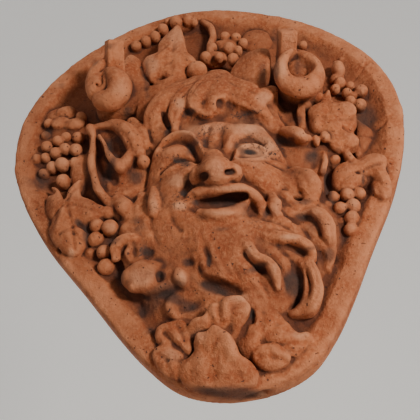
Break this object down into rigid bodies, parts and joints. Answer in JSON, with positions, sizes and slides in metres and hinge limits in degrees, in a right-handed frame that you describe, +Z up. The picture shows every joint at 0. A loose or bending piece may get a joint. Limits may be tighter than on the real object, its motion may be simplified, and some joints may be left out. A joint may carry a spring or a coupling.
{
  "type": "decorative wall plaque",
  "caption": "Fired terracotta wall plaque in a rounded-shield shape, with a horned goat-eared mask among vine leaves and grapes in high relief, hollow at the back.",
  "frame": {"origin": "on the flat back contact face, on the middle line, above the hollow in the back", "axes": "+Z up as it hangs, +X to the viewer's right, +Y out of the back into the wall, relief towards -Y"},
  "size_m": [0.3098, 0.0613, 0.3752],
  "materials": {
    "terracotta": "unglazed fired clay, matt, dark dirt in the recesses and pale dust on the high places"
  },
  "bodies": {
    "root": {"plaque": "terracotta"}
  },
  "joints": []
}
